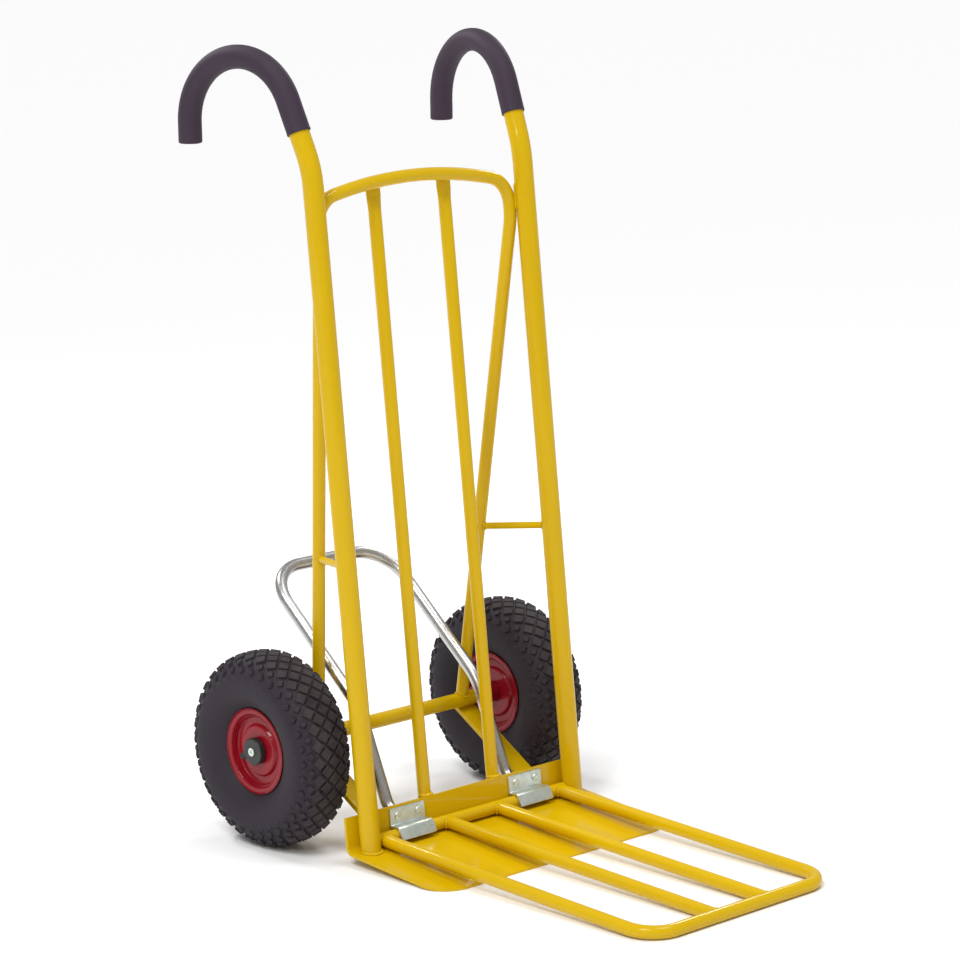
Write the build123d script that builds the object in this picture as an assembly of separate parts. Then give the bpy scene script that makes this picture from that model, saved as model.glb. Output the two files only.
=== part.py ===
"""Sack truck with hooked handles, pneumatic wheels and a folding tube toe."""

import os
from math import asin, atan2, cos, degrees, hypot, pi, radians, sin, sqrt, tan

from build123d import *

# Lengths in millimetres, angles in degrees. The floor is at zero height and
# the toe points to -Y. "Along" is measured up the leaning rails from the floor.

# Clearances
weld_gap = 0.1
slip_gap = 0.05
hinge_gap = 0.4
wheel_float = 0.5
bolt_hole_gap = 0.25

# Main rails and hooked handles
rail_diameter = 26.9
rail_wall = 2.3
rail_spacing = 366.0
rail_lean = 5.5
kink_along = 897.0
kink_radius = 150.0
handle_lean = 22.7
handle_splay = 10.6
handle_rise = 92.5
handle_radius = 86.0
handle_tail = 24.7

# Rubber grips on the handles
grip_wall = 2.0
grip_start = 49.0
grip_end_wall = 3.0
grip_round = 2.6

# Toe plate with its upstand
plate_thickness = 4.0
plate_margin = 13.05
plate_reach = 165.0
plate_slope = 4.6
floor_land = 14.0
plate_corner = 42.0
plate_bend = 8.0
upstand_along = 63.5

# Folding toe
toe_tube_diameter = 17.2
toe_tube_wall = 2.0
toe_side_gap = 1.45
toe_bar_gap = 21.9
toe_reach = 480.0
toe_corner = 40.0
pivot_gap = 1.1
pivot_end_gap = 1.05

# Hinge brackets and their bolts
bracket_thickness = 3.0
bracket_edge = 12.0
bracket_side_gap = 14.4
bracket_leaf_height = 22.0
bracket_bend = 3.5
flap_slope = 66.0
flap_drop = 16.0
bolt_diameter = 6.0
bolt_spacing = 36.0
bolt_edge = 10.0
bolt_head = 10.0
bolt_head_height = 3.0
bolt_tail = 2.0
nut_flats = 10.0
nut_height = 5.0
nut_washer_diameter = 12.0
nut_washer_thickness = 1.5

# Tipping hoop behind the frame
tip_diameter = 17.0
tip_wall = 2.0
tip_back = 293.7
tip_height = 330.7
tip_corner = 58.0
tip_knee_height = 175.4
tip_knee_radius = 70.0
tip_leg_slope = 66.5
tip_heel_reach = 24.8
tip_foot_radius = 26.0
foot_plate_edge = 7.0
foot_plate_height = 24.0
foot_plate_rim = 0.5
foot_plate_thickness = 4.0
foot_plate_corner = 4.0

# Inner bars
bar_diameter = 17.2
bar_wall = 2.0
bar_side_gap = 11.5
bar_foot_along = 28.0
bar_flat_length = 20.0
bar_taper_length = 26.0

# Rear hoop
hoop_diameter = 17.2
hoop_wall = 2.0
hoop_foot_gap = 6.0
hoop_drop = 92.0
hoop_bend_radius = 80.0
arch_leg = 50.0
arch_corner_radius = 38.0
arch_rise = 33.0
arch_straight = 10.0

# Tie rods between the rails and the rear hoop
rod_diameter = 9.0
rod_along = 388.0

# Axle and struts
axle_diameter = 20.0
wheel_gap = 8.33
strut_gap = 9.0
strut_width = 30.0
strut_thickness = 6.0
strut_foot_along = 28.8
strut_tail = 12.0

# Wheel fixings on the axle
spacer_length = 32.65
spacer_wall = 4.0
washer_diameter = 30.0
washer_thickness = 2.0
cap_diameter = 36.0
cap_length = 8.0
cap_end_wall = 2.4
cap_edge = 2.0
cap_screw_diameter = 6.0
cap_screw_length = 16.0
cap_screw_head = 11.0
cap_screw_head_height = 1.6
cap_screw_socket = 5.0

# Wheels
tyre_diameter = 260.0
tyre_width = 85.0
tyre_wall = 4.5
tread_thickness = 10.5
bead_width = 11.5
bead_height = 5.0
bead_edge = 1.5
rim_sheet = 2.0
seat_diameter = 101.6
seat_half_width = 25.6
well_depth = 3.6
flange_height = 6.7
disc_place = 18.0
disc_boss_height = 4.2
disc_boss_diameter = 66.0
hub_diameter = 42.0
hub_length = 44.0
hub_bore = 24.0
bearing_diameter = 34.0
bearing_width = 12.0
inner_tube_wall = 2.0
valve_diameter = 8.0
valve_cap_diameter = 9.6
valve_cap_length = 10.0
valve_slope = 41.0
valve_out = 12.0
valve_turn = -113.0

# Directions and radii that follow from the sizes
lean_sin = sin(radians(rail_lean))
lean_cos = cos(radians(rail_lean))
slope_sin = sin(radians(plate_slope))
slope_cos = cos(radians(plate_slope))
rail_radius = rail_diameter / 2
bar_radius = bar_diameter / 2
hoop_radius = hoop_diameter / 2
axle_radius = axle_diameter / 2
toe_radius = toe_tube_diameter / 2
tip_radius = tip_diameter / 2
tyre_radius = tyre_diameter / 2
bolt_radius = bolt_diameter / 2
bolt_hole = bolt_radius + bolt_hole_gap

# Places across the truck: each piece stands beside the one it must clear
rail_x = rail_spacing / 2
plate_width = rail_spacing + rail_diameter + 2 * plate_margin
pivot_length = 2 * (rail_x - rail_radius - pivot_end_gap)
toe_x = rail_x - rail_radius - toe_side_gap - toe_radius
bracket_width = bolt_spacing + 2 * bracket_edge
foot_plate_width = bolt_spacing + 2 * foot_plate_edge
bracket_x = toe_x - toe_radius - bracket_side_gap - bracket_width / 2
toe_bar_x = bracket_x - bracket_width / 2 - toe_bar_gap - toe_radius
bar_x = bracket_x - foot_plate_width / 2 - bar_side_gap - bar_radius
hoop_foot_x = bracket_x + tip_radius + hoop_foot_gap + hoop_radius
strut_x = bracket_x + tip_radius + strut_gap + strut_width / 2
spacer_in = strut_x + strut_width / 2 + weld_gap
spacer_out = spacer_in + spacer_length
washer_in = spacer_out + slip_gap
wheel_x = washer_in + washer_thickness + wheel_float + hub_length / 2
washer_out = wheel_x + hub_length / 2 + wheel_float

# Places behind the plane of the rails
upstand_front = rail_radius + weld_gap
upstand_rear = upstand_front + plate_thickness
bar_off = upstand_rear + weld_gap + bar_radius
bar_flat = 2 * bar_wall
bar_flat_width = pi * (bar_diameter - bar_flat) / 2 + bar_flat
arch_off = bar_off - bar_flat / 2 - weld_gap - hoop_radius
arch_x = rail_x - sqrt((rail_radius + weld_gap + hoop_radius) ** 2 - arch_off**2)
axle_height = tyre_radius
axle_back = (rail_radius + wheel_gap + tyre_radius + axle_height * lean_sin) / lean_cos


def leaning(x, off, along):
    """Point given by its distance behind the rails' plane and up along it."""
    return (x, off * lean_cos + along * lean_sin, along * lean_cos - off * lean_sin)


def crossing(p, p_angle, q, q_angle):
    """Meeting point of two lines in a plane, each a point and an angle."""
    px, py = cos(radians(p_angle)), sin(radians(p_angle))
    qx, qy = cos(radians(q_angle)), sin(radians(q_angle))
    gap_x, gap_y = q[0] - p[0], q[1] - p[1]
    reach = (gap_x * qy - gap_y * qx) / (px * qy - py * qx)
    return (p[0] + reach * px, p[1] + reach * py)


def tube(path, diameter, wall):
    """Round tube bent along a path."""
    start = Plane(origin=path @ 0, z_dir=path % 0)
    ring = Circle(diameter / 2) - Circle(diameter / 2 - wall)
    return sweep(start * ring, path=path)


def rod(start, end, radius):
    """Straight round bar between two points."""
    line = Line(start, end)
    return sweep(Plane(origin=start, z_dir=line % 0) * Circle(radius), path=line)


def other_side(shape):
    """The same piece on the other side of the truck."""
    return mirror(shape, about=Plane.YZ)


# Planes: sections of the leaning frame, and a frame that leans with the rails
side = Plane(origin=(0, 0, 0), x_dir=(0, lean_cos, -lean_sin), z_dir=(1, 0, 0))
leaning_frame = Location((0, 0, 0), (-rail_lean, 0, 0))
axle_line = Pos(0, axle_back, axle_height)

pieces = {}

# Toe plate: one sheet, bent up behind the rails and ground flat at its front edge
def sheet_points(off, reach=0.0):
    """Front end, corner and top of a line offset to the inside of the sheet's bend."""
    rise = plate_thickness / 2 + off
    low = (floor_land - plate_reach - rise * slope_sin, rise * slope_cos)
    tip = (low[0] - (floor_land + reach) * slope_cos, low[1] - (floor_land + reach) * slope_sin)
    high = leaning(0, upstand_front + plate_thickness / 2 - off, upstand_along + reach)[1:]
    return tip, crossing(low, plate_slope, high, 90 - rail_lean), high


def sheet_line(off, reach=0.0):
    """The same line with its corner rounded by the bend."""
    return FilletPolyline(
        *sheet_points(off, reach), radius=plate_bend + plate_thickness / 2 - off
    )


sheet = extrude(Plane.YZ * trace(sheet_line(0, 0), plate_thickness), plate_width / 2, both=True)
plan_depth = plate_reach + 100
plan = Pos(0, plan_depth / 2 - plate_reach) * Rectangle(plate_width, plan_depth)
plan = fillet(plan.vertices().group_by(Axis.Y)[0], plate_corner)
toe_plate = sheet & extrude(plan, 120)

above = sheet_line(plate_thickness / 2 + weld_gap, 60)
under_sheet = Plane.YZ * make_face(
    above + Polyline(above @ 1, (90, 120), (90, -60), (-260, -60), above @ 0)
)
under_sheet = extrude(under_sheet, plate_width, both=True)
below = sheet_line(-plate_thickness / 2 - weld_gap, 60)
over_sheet = Plane.YZ * make_face(
    below + Polyline(below @ 1, (-20, 180), (-260, 180), below @ 0)
)
over_sheet = extrude(over_sheet, plate_width, both=True)

# The toe turns on a tube close to the sheet's corner, under a shelf of the brackets
pivot_off = upstand_front - pivot_gap - toe_radius
pivot = (0,) + sheet_points(plate_thickness / 2 + pivot_gap + toe_radius)[1]
pivot_along = pivot[1] * lean_sin + pivot[2] * lean_cos
bracket_shelf = pivot_along + toe_radius + hinge_gap + bracket_thickness / 2
bracket_top = bracket_shelf + bracket_thickness / 2 + bracket_leaf_height
bolt_along = bracket_top - bolt_edge
bolt_places = [
    place * bracket_x + step * bolt_spacing / 2 for place in (-1, 1) for step in (-1, 1)
]
bolt_lines = [leaning_frame * Pos(x, 0, bolt_along) * Rot(X=-90) for x in bolt_places]
bolt_holes = [line * Cylinder(bolt_hole, 120) for line in bolt_lines]
pieces["toe_plate"] = toe_plate - bolt_holes

# Main rails: each one tube, bent back and then round into the handle
splay_x = sin(radians(handle_splay))
splay_y = cos(radians(handle_splay))
kink = leaning(rail_x, 0, kink_along)


def handle_point(rise, drop=0.0):
    """Point up the right handle's slope from the kink, and then straight down."""
    level = rise * sin(radians(handle_lean))
    height = rise * cos(radians(handle_lean)) - drop
    return (kink[0] + level * splay_x, kink[1] + level * splay_y, kink[2] + height)


hook_tangent = handle_radius * tan(radians(180 - handle_lean) / 2)
handle_apex = handle_point(handle_rise + hook_tangent)
handle_end = handle_point(handle_rise + hook_tangent, hook_tangent + handle_tail)
rail_foot = leaning(rail_x, 0, 0)
rail_path = FilletPolyline(
    rail_foot, kink, handle_apex, handle_end, radius=[kink_radius, handle_radius]
)
right_rail = tube(rail_path, rail_diameter, rail_wall) - under_sheet
pieces["left_rail"] = other_side(right_rail)
pieces["right_rail"] = right_rail

# Grips: rubber sleeves that follow the handles, closed over the tube end
grip_radius = rail_radius + slip_gap + grip_wall
grip_end = handle_point(handle_rise + hook_tangent, hook_tangent + handle_tail + slip_gap)
grip_path = FilletPolyline(handle_point(grip_start), handle_apex, grip_end, radius=handle_radius)
grip_sleeve = tube(grip_path, 2 * grip_radius, grip_wall)
grip_close = extrude(Pos(grip_end) * Circle(grip_radius), -grip_end_wall)
right_grip = grip_sleeve + grip_close
right_grip = fillet(right_grip.edges().sort_by(Axis.Z)[0], grip_round)
pieces["left_grip"] = other_side(right_grip)
pieces["right_grip"] = right_grip

# Rear hoop: welded to the rails under its corners and standing on the axle
axle_bar = axle_line * Rot(Y=90) * Cylinder(axle_radius, 2 * wheel_x)
axle_cope = axle_line * Rot(Y=90) * Cylinder(axle_radius + weld_gap, 2 * wheel_x)
hoop_bend_along = kink_along - hoop_drop
arch_corner_along = hoop_bend_along + arch_leg
arch_turn = sqrt(arch_x**2 + arch_rise**2)
arch_slope = degrees(atan2(arch_rise, arch_x))
corner_tangent = arch_corner_radius * tan(radians(90 - arch_slope) / 2)
arch_radius = (arch_turn - corner_tangent - arch_straight) * arch_x / arch_rise
hoop_foot = (hoop_foot_x, axle_back, axle_height)
hoop_bend = leaning(arch_x, arch_off, hoop_bend_along)
arch_corner = leaning(arch_x, arch_off, arch_corner_along)
arch_apex = leaning(0, arch_off, arch_corner_along + arch_rise)
hoop_path = FilletPolyline(
    hoop_foot,
    hoop_bend,
    arch_corner,
    arch_apex,
    (-arch_corner[0],) + arch_corner[1:],
    (-hoop_bend[0],) + hoop_bend[1:],
    (-hoop_foot[0],) + hoop_foot[1:],
    radius=[
        hoop_bend_radius,
        arch_corner_radius,
        arch_radius,
        arch_corner_radius,
        hoop_bend_radius,
    ],
)
pieces["rear_hoop"] = tube(hoop_path, hoop_diameter, hoop_wall) - axle_cope

# Inner bars: round tubes behind the upstand, pressed flat behind the arch
arch_crown = arch_corner_along + arch_rise - arch_radius * (arch_turn / arch_x - 1)
arch_at_bar = arch_crown - arch_radius + sqrt(arch_radius**2 - bar_x**2)
bar_top = arch_at_bar + hoop_radius / 2
bar_flat_low = bar_top - hoop_radius * 1.5 - bar_flat_length / 2
bar_round_top = bar_flat_low - bar_taper_length
round_length = bar_round_top - bar_foot_along
flat_length = bar_top - bar_flat_low
bar_round = Circle(bar_radius)
bar_pressed = Ellipse(bar_flat_width / 2, bar_flat / 2)
bar_tube = extrude(Pos(0, 0, bar_foot_along) * (bar_round - Circle(bar_radius - bar_wall)), round_length)
bar_taper = loft([Pos(0, 0, bar_round_top) * bar_round, Pos(0, 0, bar_flat_low) * bar_pressed])
bar_flat_end = extrude(Pos(0, 0, bar_flat_low) * bar_pressed, flat_length)
right_bar = leaning_frame * Pos(bar_x, bar_off, 0) * (bar_tube + bar_taper + bar_flat_end)
pieces["left_inner_bar"] = other_side(right_bar)
pieces["right_inner_bar"] = right_bar

# Tie rods: square to the rails, from each rail back to the hoop's leg
foot_along = axle_back * lean_sin + axle_height * lean_cos
leg_share = (rod_along - foot_along) / (hoop_bend_along - foot_along)
rod_front = leaning(rail_x, 0, rod_along)
rod_back = tuple(low + leg_share * (high - low) for low, high in zip(hoop_foot, hoop_bend))
right_rod = rod(rod_front, rod_back, rod_diameter / 2)
right_rod = right_rod - rod(rail_foot, kink, rail_radius + weld_gap)
right_rod = right_rod - rod(hoop_foot, hoop_bend, hoop_radius + weld_gap)
pieces["left_tie_rod"] = other_side(right_rod)
pieces["right_tie_rod"] = right_rod

# Struts: flat bars welded under the axle and down to the back of the sheet's bend
strut_away = axle_radius + weld_gap + strut_thickness / 2
strut_foot = leaning(strut_x, upstand_rear, strut_foot_along)
strut_run = axle_back - strut_foot[1]
strut_climb = axle_height - strut_foot[2]
strut_slope = degrees(atan2(strut_climb, strut_run) - asin(strut_away / hypot(strut_run, strut_climb)))
strut_touch = (
    axle_back + strut_away * sin(radians(strut_slope)),
    axle_height - strut_away * cos(radians(strut_slope)),
)
strut_length = axle_back + 60
strut_bar = Pos(strut_tail - strut_length / 2, 0) * Rectangle(strut_length, strut_thickness)
strut_bar = Pos(strut_touch[0], strut_touch[1]) * Rot(Z=strut_slope) * strut_bar
right_strut = extrude(Plane.YZ * strut_bar, strut_width / 2, both=True)
right_strut = Pos(strut_x, 0, 0) * right_strut - over_sheet
strut_nose = upstand_front - plate_bend / 2
right_strut = right_strut & Pos(0, strut_nose + 500, 0) * Box(1000, 1000, 1000)
pieces["left_strut"] = other_side(right_strut)
pieces["right_strut"] = right_strut

# Axle: solid bar with a threaded hole in each end for the cap screws
cap_face = hub_length / 2 + wheel_float + washer_thickness + slip_gap
axle_end = wheel_x + cap_face + cap_length - cap_end_wall - weld_gap
axle_bar = axle_line * Rot(Y=90) * Cylinder(axle_radius, 2 * axle_end)
screw_line = axle_line * Pos(wheel_x + cap_face + cap_length, 0, 0) * Rot(Y=90)
screw_hole = screw_line * Cylinder(cap_screw_diameter / 2 + slip_gap, 2 * cap_screw_length + 2)
pieces["axle"] = axle_bar - screw_hole - other_side(screw_hole)

# Spacers and washers that keep the wheels in place along the axle
def sleeve(start, end, radius, bore):
    """Plain ring on the axle between two places across the truck."""
    ring = Circle(radius) - Circle(bore)
    return axle_line * Pos(start, 0, 0) * Rot(Y=90) * extrude(ring, end - start)


axle_bore = axle_radius + slip_gap
right_spacer = sleeve(spacer_in, spacer_out, axle_bore + spacer_wall, axle_bore)
washers = [
    sleeve(place, place + washer_thickness, washer_diameter / 2, axle_bore)
    for place in (washer_in, washer_out)
]
pieces["axle_spacers"] = Compound([right_spacer, other_side(right_spacer)])
pieces["axle_washers"] = Compound(washers + [other_side(washer) for washer in washers])

# Hub caps: plastic cups pressed over the axle ends, each held by a ring-headed screw
cap_line = axle_line * Pos(wheel_x + cap_face, 0, 0) * Rot(Y=90)
cap = extrude(Circle(cap_diameter / 2), cap_length)
cap = fillet(cap.edges().sort_by(Axis.Z)[-1], cap_edge)
cap = cap - extrude(Circle(axle_bore), cap_length - cap_end_wall)
cap = cap - extrude(Circle(cap_screw_diameter / 2 + bolt_hole_gap), cap_length)
right_cap = cap_line * cap
pieces["left_hub_cap"] = other_side(right_cap)
pieces["right_hub_cap"] = right_cap

screw = Pos(0, 0, slip_gap) * extrude(Circle(cap_screw_head / 2), cap_screw_head_height)
screw = screw + Pos(0, 0, slip_gap) * extrude(Circle(cap_screw_diameter / 2), -cap_screw_length)
screw = screw - Pos(0, 0, slip_gap) * extrude(
    RegularPolygon(cap_screw_socket / 2, 6, major_radius=False), cap_screw_head_height
)
right_screw = screw_line * screw
pieces["cap_screws"] = Compound([right_screw, other_side(right_screw)])

# Tyre: bulging section with thick tread and square beads, turned about the axle
half_width = tyre_width / 2
seat_radius = seat_diameter / 2
bead_foot = seat_radius + weld_gap
bead_face = seat_half_width - weld_gap
bead_inside = bead_face - bead_width
bead_top = bead_foot + bead_height
section_height = tyre_radius - bead_foot
widest = bead_foot + 0.53 * section_height


def both_sides(curve):
    """A line on the right of a wheel section with its mirror image on the left."""
    return [curve, mirror(curve, about=Plane.YZ)]


def tyre_curve(cut, crown_cut, start):
    """Both walls and the crown of the tyre's section, moved in from the outside."""
    wide = (half_width - cut, widest)
    crown = tyre_radius - crown_cut
    edge = (0.64 * half_width - crown_cut / 3, crown - 0.027 * tyre_radius)
    wall = both_sides(TangentArc(wide, start, tangent=(0, -1)))
    shoulder = both_sides(TangentArc(wide, edge, tangent=(0, 1)))
    return wall + shoulder + [ThreePointArc(edge, (0, crown), (-edge[0], edge[1]))]


lip_top = (bead_face + 1.5, bead_top + 3)
well_edge = (bead_inside, bead_foot + 2)
tyre_out = tyre_curve(0, 0, lip_top)
tyre_in = tyre_curve(tyre_wall, tread_thickness, (bead_face - tyre_wall, bead_top + 5))
bead_line = Polyline(
    lip_top,
    (bead_face, bead_top),
    (bead_face, bead_foot + bead_edge),
    (bead_face - bead_edge, bead_foot),
    (bead_inside, bead_foot),
    well_edge,
    (bead_face - tyre_wall, bead_top + 5),
)
tyre_face = make_face(tyre_out + tyre_in + both_sides(bead_line))
wheel_section = Plane.XZ
tyre = revolve(wheel_section * tyre_face, Axis.X)

# Rim: rolled band with a well and two curled flanges
sheet_half = rim_sheet / 2
band_radius = seat_radius - sheet_half
flange = seat_half_width + sheet_half
band_half = [
    (flange + 2.4, seat_radius + flange_height - sheet_half),
    (flange + 0.3, seat_radius + flange_height - 2.2),
    (flange, band_radius),
    (bead_inside - 1, band_radius),
    (bead_inside - 1 - well_depth, band_radius - well_depth),
]
band_line = FilletPolyline(
    *band_half, *[(-x, radius) for x, radius in reversed(band_half)], radius=1.6
)
band = revolve(wheel_section * trace(band_line, rim_sheet), Axis.X)
well_radius = seat_radius - well_depth

# Discs: pressed dishes welded into the band and onto the hub, one on each side
skirt = band_radius - rim_sheet - weld_gap
boss_radius = disc_boss_diameter / 2
boss_foot = hub_diameter / 2 + weld_gap
disc_line = FilletPolyline(
    (flange - rim_sheet, skirt),
    (disc_place + 1, skirt - 1.5),
    (disc_place - sheet_half, skirt - 3.5),
    (disc_place - sheet_half, boss_radius + 2),
    (disc_place - sheet_half + disc_boss_height, boss_radius - 1),
    (disc_place - sheet_half + disc_boss_height, boss_foot),
    radius=[1.5, 1.5, 1.5, 1.5],
)
disc = revolve(wheel_section * trace(disc_line, rim_sheet), Axis.X)

# Hub tube with a bearing pressed into each end
hub = extrude(Plane.YZ * (Circle(hub_diameter / 2) - Circle(hub_bore / 2)), hub_length / 2, both=True)
pocket = extrude(Plane.YZ * Circle(bearing_diameter / 2), bearing_width)
hub = hub - Pos(hub_length / 2 - bearing_width, 0, 0) * pocket - Pos(-hub_length / 2, 0, 0) * pocket
bearing = Circle(bearing_diameter / 2 - slip_gap) - Circle(axle_radius + slip_gap)
bearing = Pos(hub_length / 2 - bearing_width + slip_gap, 0, 0) * extrude(
    Plane.YZ * bearing, bearing_width - slip_gap
)
bearings = Compound([bearing, other_side(bearing)])

# Inner tube: hollow ring that fills the tyre down to the rim's well
tube_foot = Polyline(
    (bead_face - tyre_wall, bead_top + 5),
    well_edge,
    (bead_inside - 1 - well_depth, well_radius + 0.8),
    (-bead_inside + 1 + well_depth, well_radius + 0.8),
    (-well_edge[0], well_edge[1]),
    (tyre_wall - bead_face, bead_top + 5),
)
cavity = make_face(tyre_in + [tube_foot])
tube_face = offset(cavity, -0.5) - offset(cavity, -0.5 - inner_tube_wall)
inner_tube = revolve(wheel_section * tube_face, Axis.X)

# Valve: stem from the inner tube's foot, slanting out through the outer disc
valve_sin = sin(radians(valve_slope))
valve_cos = cos(radians(valve_slope))
valve_foot = (2.0, 0, well_radius + 2)
valve_line = Pos(valve_foot) * Rot(Y=90 + valve_slope)
stem_length = (disc_place - valve_foot[0]) / valve_cos + valve_out - valve_cap_length
stem = Pos(0, 0, stem_length / 2) * Cylinder(valve_diameter / 2, stem_length)
valve_cap = Pos(0, 0, stem_length + valve_cap_length / 2) * Cylinder(
    valve_cap_diameter / 2, valve_cap_length
)
valve_cap = fillet(valve_cap.edges().sort_by(Axis.Z)[-1], 1.5)
valve = valve_line * (stem + valve_cap) - revolve(wheel_section * cavity, Axis.X)
valve_way = valve_line * Pos(0, 0, 40) * Cylinder(valve_cap_diameter / 2 + bolt_hole_gap, 90)

for name, place in (("left", -wheel_x), ("right", wheel_x)):
    wheel_place = axle_line * Pos(place, 0, 0) * Rot(X=valve_turn)
    wheel_pieces = {
        "tyre": tyre,
        "inner_tube": inner_tube,
        "rim_band": band - valve_way,
        "outer_disc": disc - valve_way,
        "inner_disc": other_side(disc),
        "hub": hub,
        "bearings": bearings,
        "valve": valve,
    }
    for piece, shape in wheel_pieces.items():
        turned = shape if name == "right" else other_side(shape)
        pieces[f"{name}_{piece}"] = wheel_place * turned

# Folding toe: cross tube it turns on, a bent outer tube and two bars between
toe_front = (0, -toe_reach, toe_radius)
pivot_line = Pos(pivot) * Rot(Y=90)
pieces["pivot_tube"] = pivot_line * extrude(
    Circle(toe_radius) - Circle(toe_radius - toe_tube_wall), pivot_length / 2, both=True
)
pivot_cope = pivot_line * Cylinder(toe_radius + weld_gap, pivot_length + 40)
loop_path = FilletPolyline(
    (toe_x, pivot[1], pivot[2]),
    (toe_x, toe_front[1], toe_front[2]),
    (-toe_x, toe_front[1], toe_front[2]),
    (-toe_x, pivot[1], pivot[2]),
    radius=toe_corner,
)
pieces["toe_loop"] = tube(loop_path, toe_tube_diameter, toe_tube_wall) - pivot_cope
front_length = 2 * (toe_x - toe_corner)
front_cope = Pos(toe_front) * Rot(Y=90) * Cylinder(toe_radius + weld_gap, front_length)
toe_bar = tube(
    Line((toe_bar_x, pivot[1], pivot[2]), (toe_bar_x, toe_front[1], toe_front[2])),
    toe_tube_diameter,
    toe_tube_wall,
)
toe_bar = toe_bar - pivot_cope - front_cope
pieces["left_toe_bar"] = other_side(toe_bar)
pieces["right_toe_bar"] = toe_bar

# Hinge brackets: folded strips that hold the pivot tube down in front of the upstand
leaf = upstand_front - weld_gap - bracket_thickness / 2
clear = toe_radius + hinge_gap + bracket_thickness / 2
flap_near = (
    pivot_off - clear * sin(radians(flap_slope)),
    pivot_along + clear * cos(radians(flap_slope)),
)
flap_top = crossing(flap_near, flap_slope, (leaf, bracket_shelf), 180)
flap_end = (flap_top[0] - flap_drop / tan(radians(flap_slope)), flap_top[1] - flap_drop)
bracket_line = FilletPolyline(
    (leaf, bracket_top), (leaf, bracket_shelf), flap_top, flap_end, radius=bracket_bend
)
bracket = extrude(side * trace(bracket_line, bracket_thickness), bracket_width / 2, both=True)
right_bracket = Pos(bracket_x, 0, 0) * bracket - bolt_holes
pieces["left_hinge_bracket"] = other_side(right_bracket)
pieces["right_hinge_bracket"] = right_bracket

# Tipping hoop: bent tube with two foot plates bolted behind the upstand
foot_front = upstand_rear + weld_gap
foot_back = foot_front + foot_plate_thickness
foot_low = bracket_top - foot_plate_height
tip_along = foot_low + foot_plate_rim + tip_radius
tip_start = leaning(bracket_x, foot_back + weld_gap, tip_along)
tip_heel = leaning(bracket_x, foot_back + weld_gap + tip_heel_reach, tip_along)
tip_knee_back = tip_heel[1] + (tip_knee_height - tip_heel[2]) / tan(radians(tip_leg_slope))
tip_half = [
    tip_start,
    tip_heel,
    (bracket_x, tip_knee_back, tip_knee_height),
    (bracket_x, tip_back, tip_height),
]
tip_path = FilletPolyline(
    *tip_half,
    *[(-x, y, z) for x, y, z in reversed(tip_half)],
    radius=[
        tip_foot_radius,
        tip_knee_radius,
        tip_corner,
        tip_corner,
        tip_knee_radius,
        tip_foot_radius,
    ],
)
pieces["tipping_hoop"] = tube(tip_path, tip_diameter, tip_wall)

foot_middle = foot_low + foot_plate_height / 2
foot_line = leaning_frame * Pos(bracket_x, foot_front, foot_middle) * Rot(X=-90)
foot_plate = foot_line * extrude(
    RectangleRounded(foot_plate_width, foot_plate_height, foot_plate_corner), foot_plate_thickness
)
foot_plate = foot_plate - bolt_holes
pieces["hoop_feet"] = Compound([foot_plate, other_side(foot_plate)])

# Bolts through bracket, upstand and foot plate, with a washer and nut behind each
bolt_face = leaf - bracket_thickness / 2 - slip_gap
washer_face = foot_back + slip_gap
nut_face = washer_face + nut_washer_thickness + slip_gap
bolt_end = nut_face + nut_height + bolt_tail
head = Pos(0, 0, bolt_face - bolt_head_height) * extrude(Circle(bolt_head / 2), bolt_head_height)
head = fillet(head.edges().sort_by(Axis.Z)[0], bolt_head_height - 0.5)
shank = Pos(0, 0, bolt_face) * extrude(Circle(bolt_radius), bolt_end - bolt_face)
bolt = head + shank
bolt_washer = Pos(0, 0, washer_face) * extrude(
    Circle(nut_washer_diameter / 2) - Circle(bolt_hole), nut_washer_thickness
)
nut = Pos(0, 0, nut_face) * extrude(
    RegularPolygon(nut_flats / 2, 6, major_radius=False) - Circle(bolt_radius + slip_gap),
    nut_height,
)
pieces["hinge_bolts"] = Compound([line * bolt for line in bolt_lines])
pieces["hinge_washers"] = Compound([line * bolt_washer for line in bolt_lines])
pieces["hinge_nuts"] = Compound([line * nut for line in bolt_lines])

# The middle of the truck's length goes to the origin
front_end = -toe_reach - toe_radius
back_end = max(tip_back + tip_radius, axle_back + tyre_radius)
centred = Pos(0, -(front_end + back_end) / 2, 0)

os.makedirs("parts", exist_ok=True)
for node, shape in pieces.items():
    export_step(centred * shape, f"parts/{node}.step")
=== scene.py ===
from bisect import bisect_left
from math import atan2, cos, hypot, pi, radians, sin, sqrt, tau

import bmesh
import bpy
from mathutils import Matrix, Vector


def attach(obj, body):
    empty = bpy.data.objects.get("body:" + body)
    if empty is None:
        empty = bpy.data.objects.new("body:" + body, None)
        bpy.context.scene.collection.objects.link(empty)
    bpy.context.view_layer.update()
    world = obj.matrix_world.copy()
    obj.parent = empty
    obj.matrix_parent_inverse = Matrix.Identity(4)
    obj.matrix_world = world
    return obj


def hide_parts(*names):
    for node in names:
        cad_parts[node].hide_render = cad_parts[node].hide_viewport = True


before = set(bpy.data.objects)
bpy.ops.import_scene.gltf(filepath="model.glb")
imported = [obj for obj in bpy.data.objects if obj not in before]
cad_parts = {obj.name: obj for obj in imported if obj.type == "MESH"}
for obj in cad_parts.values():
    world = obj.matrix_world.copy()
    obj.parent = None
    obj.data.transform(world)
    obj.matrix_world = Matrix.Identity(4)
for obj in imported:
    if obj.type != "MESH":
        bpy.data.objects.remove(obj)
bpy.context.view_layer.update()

# Camera: a long lens off the truck's left front corner, a little above the handles,
# looking down at the middle of the frame as in the photograph.
camera_spot = (-2.9207, -3.0718, 1.3134)
camera_heading = radians(-42.876)
camera_drop = radians(10.968)
camera_roll = radians(-0.930)
camera_data = bpy.data.cameras.new("camera")
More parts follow.
